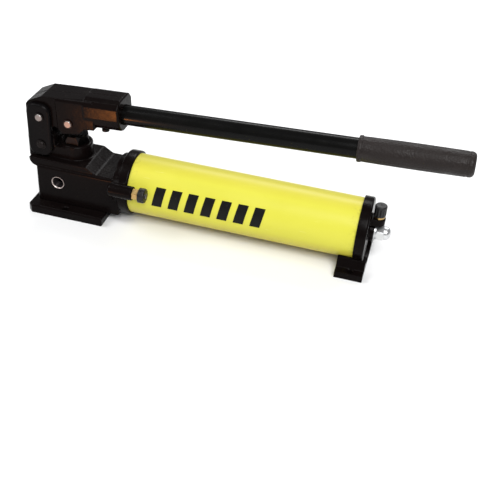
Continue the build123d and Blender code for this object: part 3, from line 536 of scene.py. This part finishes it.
def make_grip():
    """Moulded sleeve: rolled lip, crowned body, groove before a rounded end, two mould seams."""
    low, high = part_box("handle_grip")
    lip_r = (high.y - low.y) / 2
    body_r = lip_r - 0.4 * MM
    bore_r = HANDLE.radius + 0.02 * MM
    bore_end = HANDLE.end + 0.05 * MM
    lip_width = 5.0 * MM
    lip_foot_r = body_r - 0.7 * MM
    side_r = body_r - 0.55 * MM
    crown_height = 0.50 * MM
    rounding = 5.5 * MM
    dimple_r = 2.2 * MM
    start = HANDLE.station(low.x, lip_r)
    end = HANDLE.station(high.x, rounding - body_r) - 0.2 * MM
    body_start = start + lip_width + 0.6 * MM
    body_end = end - rounding

    profile = [(bore_end, 0.0), (bore_end, bore_r), (start, bore_r)]
    lip_steps, body_steps, end_steps = 12, 40, 14
    for step in range(lip_steps + 1):
        angle = pi * step / lip_steps
        flare = sin(angle) ** 0.6 * (lip_r - lip_foot_r)
        profile.append((start + lip_width * (1 - cos(angle)) / 2, lip_foot_r + flare))
    for step in range(body_steps + 1):
        t = step / body_steps
        crown = crown_height * sin(pi * t) ** 0.8
        profile.append((body_start + t * (body_end - body_start), side_r + crown))
    profile = with_groove(profile, body_end - 3.0 * MM, 1.2 * MM, 0.35 * MM)
    for step in range(1, end_steps + 1):
        angle = (pi / 2) * step / end_steps
        profile.append((body_end + rounding * sin(angle), side_r - rounding * (1 - cos(angle))))
    profile += [(end, dimple_r), (end - 0.7 * MM, dimple_r * 0.8), (end - 0.9 * MM, 0.0)]

    def seam(station, angle):
        """The two low mould seams, on opposite sides of the sleeve."""
        if not body_start < station < body_end:
            return 0.0
        away = abs(sin(angle - radians(24)))
        return 0.16 * MM * exp(-((away / 0.035) ** 2))

    piece = turned("handle_grip_moulded", profile, 256, seam, HANDLE.point, "handle", "grip_rubber")
    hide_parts("handle_grip")


def make_port_thread():
    """Helical thread ridge on the wall of the outlet port."""
    low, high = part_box("outlet_port_bush")
    centre = (low + high) / 2
    bush_wall = 1.2 * MM
    root_r = (high.x - low.x) / 2 - bush_wall + 0.1 * MM
    crest_r = root_r - 0.75 * MM
    root_half, crest_half = 0.60 * MM, 0.12 * MM
    pitch = 1.41 * MM
    steps = 40
    turns = int((high.y - low.y - 2 * PORT_THREAD_START) / pitch)
    mesh = bmesh.new()
    rings = []
    for index in range(turns * steps + 1):
        angle = 2 * pi * index / steps
        y = low.y + PORT_THREAD_START + pitch * index / steps
        fade = min(1.0, index / steps, (turns * steps - index) / steps)
        crest = root_r + (crest_r - root_r) * max(fade, 0.05)
        section = ((root_r, -root_half), (crest, -crest_half), (crest, crest_half), (root_r, root_half))
        ring = []
        for r, offset in section:
            point = (centre.x + r * cos(angle), y + offset, centre.z + r * sin(angle))
            ring.append(mesh.verts.new(point))
        rings.append(ring)
    swept(mesh, rings)
    thread = piece_from(mesh, "outlet_port_thread", "pump_body", "bright_steel")
    # the thread lies past PORT_THREAD_START, so the port's painted shade darkens all of it
    dress(thread, PORT_METAL)


def parting_line(name, over, start_x, end_x, width, height):
    """Low ridge where the two halves of the mould met, laid along the top of a casting at Y = 0."""
    above_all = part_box(over)[1].z + 20 * MM
    count = 60
    path = []
    for index in range(count + 1):
        x = start_x + (end_x - start_x) * index / count
        start = Vector((x, 0.0, above_all))
        found, spot, _, _ = SOFT[over].ray_cast(start, Vector((0.0, 0.0, -1.0)))
        if found:
            path.append(spot.copy())

    # shares of the width and of the height; the foot of the ridge is sunk into the casting
    section = (
        (-0.5, -0.4), (-0.5, 0.0), (-0.3, 0.75), (0.0, 1.0), (0.3, 0.75), (0.5, 0.0), (0.5, -0.4),
    )
    last = len(path) - 1
    mesh = bmesh.new()
    rings = []
    for index, spot in enumerate(path):
        ahead = path[min(index + 1, last)] - path[max(index - 1, 0)]
        outward = Vector((-ahead.z, 0.0, ahead.x)).normalized()
        fade = min(1.0, index / 2, (last - index) / 2)
        ring = []
        for across, up in section:
            lift = up * height * (fade if up > 0 else 1.0)
            ring.append(mesh.verts.new(spot + Vector((0.0, across * width, 0.0)) + lift * outward))
        rings.append(ring)
    swept(mesh, rings)
    piece_from(mesh, name, BODY_OF[over], SLOT_OF[over])


def make_valve_spring():
    """The outlet valve's spring, as a piece with a mesh of its own."""
    node = "outlet_valve_spring"
    piece = new_piece("outlet_valve_coil", NODES[node].data.copy(), BODY_OF[node], SLOT_OF[node])
    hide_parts(node)
    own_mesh(piece)


make_grip()
make_port_thread()
make_valve_spring()
beam_low, beam_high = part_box("handle_beam")
parting_line(
    "beam_parting_line", "handle_beam",
    beam_low.x + 2 * MM, beam_high.x - 3 * MM, width=1.3 * MM, height=0.28 * MM,
)


# ---- stage, light and camera -----------------------------------------------------------------------
FLOOR_HALF = 6.0
LENS = 61.9
SENSOR = 36.0
CAMERA_PLACE = (0.251, -0.897, 0.650)
CAMERA_RIGHT = (0.9627, 0.2626, 0.0653)
CAMERA_UP = (-0.2067, 0.5578, 0.8038)


def make_floor():
    g = Graph("pale_floor")
    color = g.mix(g.noise(3.0, 3.0), (0.86, 0.86, 0.86), (0.90, 0.90, 0.90))
    floor_material = g.finish(color, 0.6)
    mesh = bpy.data.meshes.new("floor")
    z = CAD_BOX[0].z
    corners = [(x * FLOOR_HALF, y * FLOOR_HALF, z) for x, y in ((-1, -1), (1, -1), (1, 1), (-1, 1))]
    mesh.from_pydata(corners, [], [(0, 1, 2, 3)])
    floor = bpy.data.objects.new("floor", mesh)
    bpy.context.scene.collection.objects.link(floor)
    floor.data.materials.append(floor_material)


def area_light(name, location, target, size, energy):
    data = bpy.data.lights.new(name, "AREA")
    data.shape = "RECTANGLE"
    data.size, data.size_y = size
    data.energy = energy
    light = bpy.data.objects.new(name, data)
    light.location = location
    light.visible_camera = False
    light.rotation_mode = "QUATERNION"
    light.rotation_quaternion = (Vector(target) - Vector(location)).to_track_quat("-Z", "Y")
    bpy.context.scene.collection.objects.link(light)
    return data


def make_lights():
    centre = (0.0, 0.0, 0.08)
    area_light("key", (1.1, -2.2, 2.9), centre, (2.2, 1.8), 124.0)
    area_light("fill", (-2.2, -0.6, 2.4), centre, (1.6, 1.6), 46.0)
    area_light("backdrop", (0.3, 2.2, 2.2), (0.1, 1.2, 0.0), (3.0, 0.8), 60.0)

    # stands for the brass and copper-coloured things whose glow shows on the beam's socket
    place, target = (-0.227, -0.262, 0.020), (-0.142, -0.023, 0.150)
    card = area_light("warm_card", place, target, (0.046, 0.032), 0.030)
    card.color = (1.0, 0.31, 0.06)
    card.spread = radians(50)

    world = bpy.data.worlds.new("studio")
    world.use_nodes = True
    background = world.node_tree.nodes["Background"]
    background.inputs["Color"].default_value = (0.97, 0.98, 1.0, 1.0)
    background.inputs["Strength"].default_value = 0.30
    bpy.context.scene.world = world


def make_camera():
    """Stands in front, to the right and above, with a slight roll."""
    data = bpy.data.cameras.new("camera")
    data.sensor_width = SENSOR
    data.lens = LENS
    camera = bpy.data.objects.new("camera", data)
    right = Vector(CAMERA_RIGHT)
    back = right.cross(Vector(CAMERA_UP)).normalized()
    up = back.cross(right).normalized()
    rotation = Matrix((right.normalized(), up, back)).transposed()
    camera.matrix_world = Matrix.Translation(CAMERA_PLACE) @ rotation.to_4x4()
    bpy.context.scene.collection.objects.link(camera)
    bpy.context.scene.camera = camera


make_floor()
make_lights()
make_camera()
bpy.context.scene.view_settings.view_transform = "Standard"
